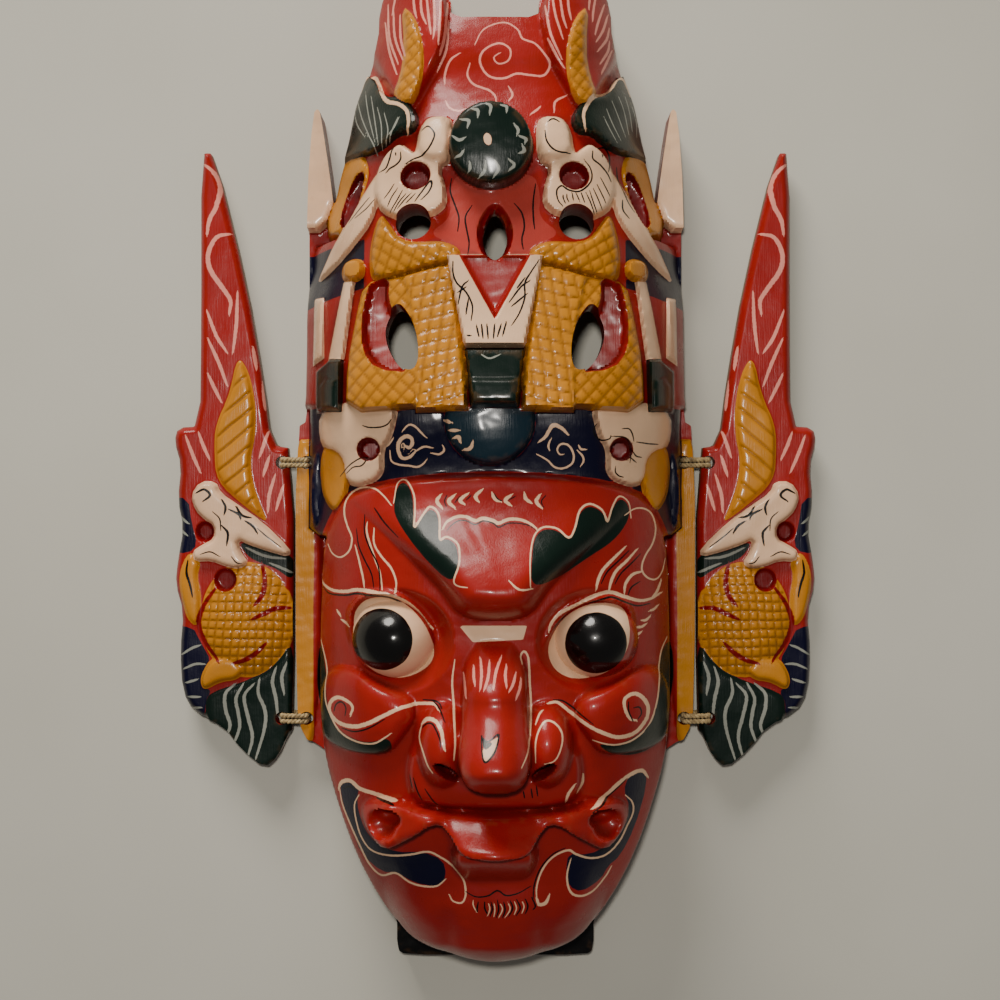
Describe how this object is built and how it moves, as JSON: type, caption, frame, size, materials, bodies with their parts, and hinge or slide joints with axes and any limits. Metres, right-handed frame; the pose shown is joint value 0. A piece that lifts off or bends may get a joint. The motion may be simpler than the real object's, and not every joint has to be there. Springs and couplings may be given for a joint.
{
  "type": "garuda mask",
  "caption": "Carved and painted wooden mask with a glaring face, a tall pierced dragon crown and two side wings lashed on with twine, hollow behind.",
  "frame": {"origin": "middle of the whole mask, on the plane that its back rim rests on", "axes": "+Z the way the face looks, up from the resting plane; +Y towards the crown; +X to the viewer's right"},
  "size_m": [0.275, 0.417, 0.1177],
  "materials": {
    "painted_carving": "glossy red lacquer with cream, ochre, dark green and navy paint; bare wood in the hollow",
    "painted_wings": "red lacquer with ochre, cream, dark green and navy paint; bare brown edges",
    "twine": "rough pale twine"
  },
  "bodies": {
    "root": {"mask_body": "painted_carving", "wing_left": "painted_wings", "wing_right": "painted_wings", "tie_left_upper": "twine", "tie_left_lower": "twine", "tie_right_upper": "twine", "tie_right_lower": "twine"}
  },
  "joints": []
}
